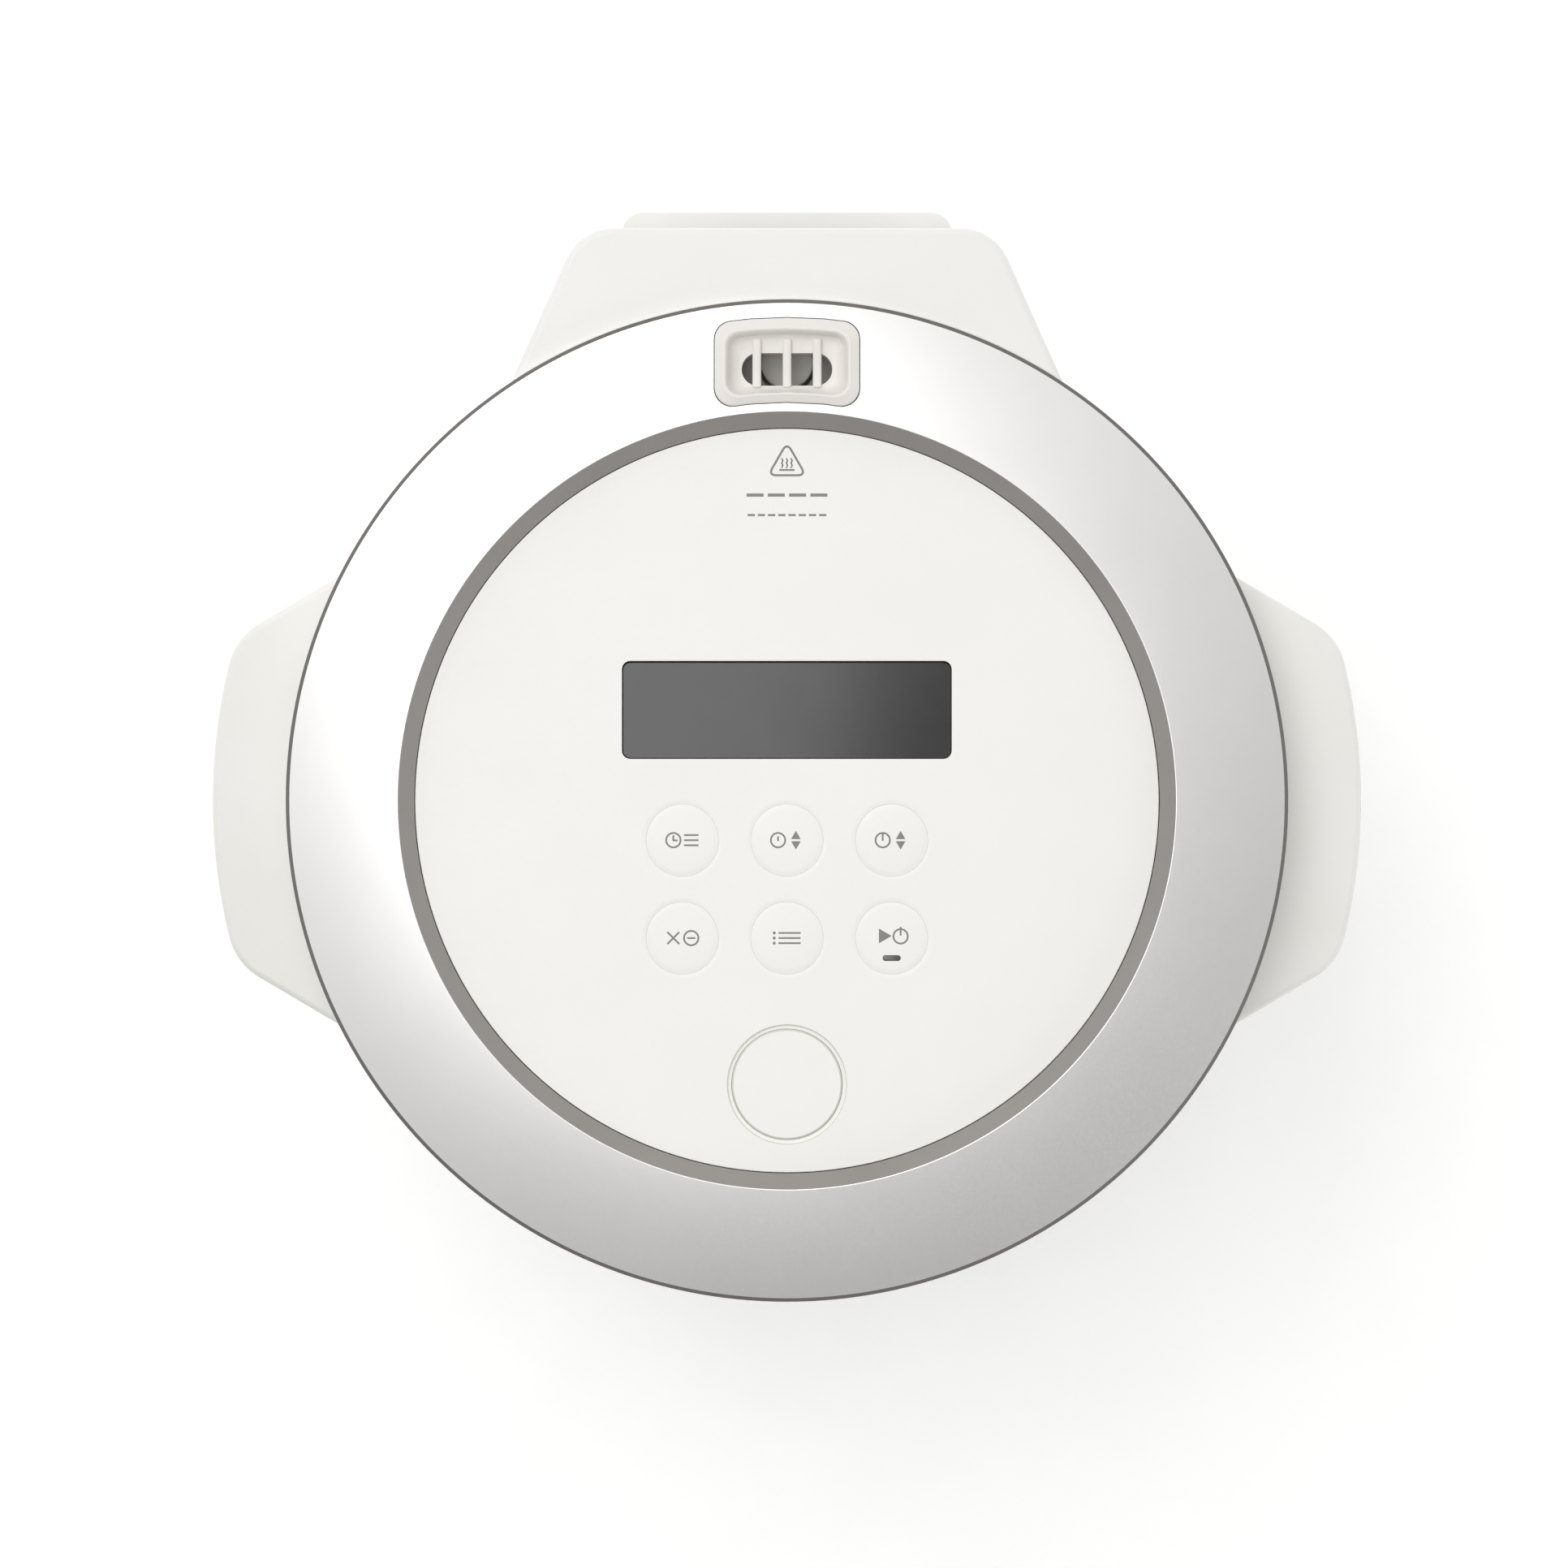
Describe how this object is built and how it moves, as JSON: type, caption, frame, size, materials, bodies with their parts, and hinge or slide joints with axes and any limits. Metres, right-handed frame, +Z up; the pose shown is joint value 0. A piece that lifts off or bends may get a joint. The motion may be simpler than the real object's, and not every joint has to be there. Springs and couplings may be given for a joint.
{
  "type": "rice cooker",
  "caption": "Small round electric rice cooker with a hinged lid, keys and display on a flat panel, steam cap, side grips and a rear dew tray.",
  "frame": {"origin": "bottom centre of the bounding box, on the plane that the feet stand on", "axes": "+Z up, +X to the user's right along the grips, +Y to the rear with the hinge and inlet"},
  "size_m": [0.274, 0.259, 0.1897],
  "materials": {
    "body_white": "smooth moulded white plastic",
    "grip_white": "fine-grained white plastic",
    "ring_silver": "satin silver paint over plastic",
    "panel_white": "smooth white plastic",
    "window_dark": "clear glossy smoked lens",
    "tray_clear": "slightly translucent plastic",
    "base_grey": "plain grey plastic",
    "rubber_grey": "soft rubber",
    "silicone": "translucent silicone",
    "steel": "plain steel",
    "aluminium": "satin aluminium",
    "pot_coat": "aluminium with dark non-stick coat",
    "heater_cast": "cast aluminium",
    "board_green": "coated circuit board",
    "part_black": "black moulded plastic",
    "part_yellow": "yellow wound tape",
    "band_foil": "foil and felt",
    "lead_white": "sleeved wire",
    "lens_grey": "small clear lens"
  },
  "bodies": {
    "body": {"outer_shell": "body_white", "shoulder_frame": "body_white", "grip_left": "grip_white", "grip_right": "grip_white", "base_plate": "base_grey", "rubber_feet": "rubber_grey", "base_screws": "steel", "inner_housing": "steel", "warming_band": "band_foil", "inner_pot": "pot_coat", "heater_plate": "heater_cast", "heater_element": "steel", "sensor_holder": "steel", "thermal_fuse": "part_black", "board_bracket": "base_grey", "power_board": "board_green", "transformer": "part_yellow", "power_relay": "part_black", "inlet_socket": "part_black", "inlet_pins": "steel", "heater_leads": "lead_white", "hinge_bracket": "body_white", "hinge_pin": "steel", "hinge_spring": "steel", "catch_plate": "steel"},
    "lid": {"lid_base": "body_white", "lid_rear_cover": "body_white", "lid_ring": "ring_silver", "control_panel": "panel_white", "display_window": "window_dark", "display_module": "part_black", "control_board": "board_green", "tact_switches": "part_black", "clock_battery": "steel", "hinge_arms": "steel", "button_guide": "panel_white", "latch_pin": "steel", "latch_spring": "steel", "radiating_plate": "aluminium", "inner_lid": "aluminium", "inner_lid_gasket": "silicone", "inner_lid_knob": "silicone", "steam_seal": "silicone", "steam_duct": "base_grey", "lid_screws": "steel"},
    "open_button": {"open_button": "panel_white", "button_spring": "steel"},
    "latch": {"latch_lever": "part_black"},
    "steam_cap": {"steam_cap": "grip_white"},
    "steam_valve": {"steam_valve": "silicone"},
    "sensor": {"sensor_cap": "aluminium", "sensor_spring": "steel"},
    "dew_tray": {"dew_tray": "tray_clear"},
    "key_clock": {"key_clock": "panel_white"},
    "key_hour": {"key_hour": "panel_white"},
    "key_minute": {"key_minute": "panel_white"},
    "key_cancel": {"key_cancel": "panel_white"},
    "key_menu": {"key_menu": "panel_white"},
    "key_start": {"key_start": "panel_white", "indicator_lens": "lens_grey"}
  },
  "joints": [
    {"name": "lid_hinge", "type": "hinge", "parent": "body", "child": "lid", "pos_m": [0, 0.1155, 0.16], "axis": [-1, 0, 0], "range_deg": [0, 88]},
    {"name": "open_button_press", "type": "slide", "parent": "lid", "child": "open_button", "axis": [0, 0, -1], "range_m": [0, 0.003], "stiffness_N_per_m": 500, "springref_m": -0.004, "deforming": ["button_spring"]},
    {"name": "latch_pivot", "type": "hinge", "parent": "lid", "child": "latch", "pos_m": [0, -0.1165, 0.17], "axis": [-1, 0, 0], "range_deg": [0, 4.6]},
    {"name": "steam_cap_pull", "type": "slide", "parent": "lid", "child": "steam_cap", "axis": [0, 0, 1], "range_m": [0, 0.03]},
    {"name": "steam_valve_lift", "type": "slide", "parent": "steam_cap", "child": "steam_valve", "axis": [0, 0, 1], "range_m": [0, 0.002]},
    {"name": "sensor_press", "type": "slide", "parent": "body", "child": "sensor", "axis": [0, 0, -1], "range_m": [0, 0.002], "stiffness_N_per_m": 300, "springref_m": -0.003, "deforming": ["sensor_spring"]},
    {"name": "dew_tray_pull", "type": "slide", "parent": "body", "child": "dew_tray", "axis": [0, 1, 0], "range_m": [0, 0.035]},
    {"name": "key_clock_press", "type": "slide", "parent": "lid", "child": "key_clock", "axis": [0, 0, -1], "range_m": [0, 0.0006], "stiffness_N_per_m": 300, "springref_m": -0.002},
    {"name": "key_hour_press", "type": "slide", "parent": "lid", "child": "key_hour", "axis": [0, 0, -1], "range_m": [0, 0.0006], "stiffness_N_per_m": 300, "springref_m": -0.002},
    {"name": "key_minute_press", "type": "slide", "parent": "lid", "child": "key_minute", "axis": [0, 0, -1], "range_m": [0, 0.0006], "stiffness_N_per_m": 300, "springref_m": -0.002},
    {"name": "key_cancel_press", "type": "slide", "parent": "lid", "child": "key_cancel", "axis": [0, 0, -1], "range_m": [0, 0.0006], "stiffness_N_per_m": 300, "springref_m": -0.002},
    {"name": "key_menu_press", "type": "slide", "parent": "lid", "child": "key_menu", "axis": [0, 0, -1], "range_m": [0, 0.0006], "stiffness_N_per_m": 300, "springref_m": -0.002},
    {"name": "key_start_press", "type": "slide", "parent": "lid", "child": "key_start", "axis": [0, 0, -1], "range_m": [0, 0.0006], "stiffness_N_per_m": 300, "springref_m": -0.002}
  ],
  "couplings": [
    {"joint": "latch_pivot", "follows": "open_button_press", "rad_per_m": 26.1}
  ]
}
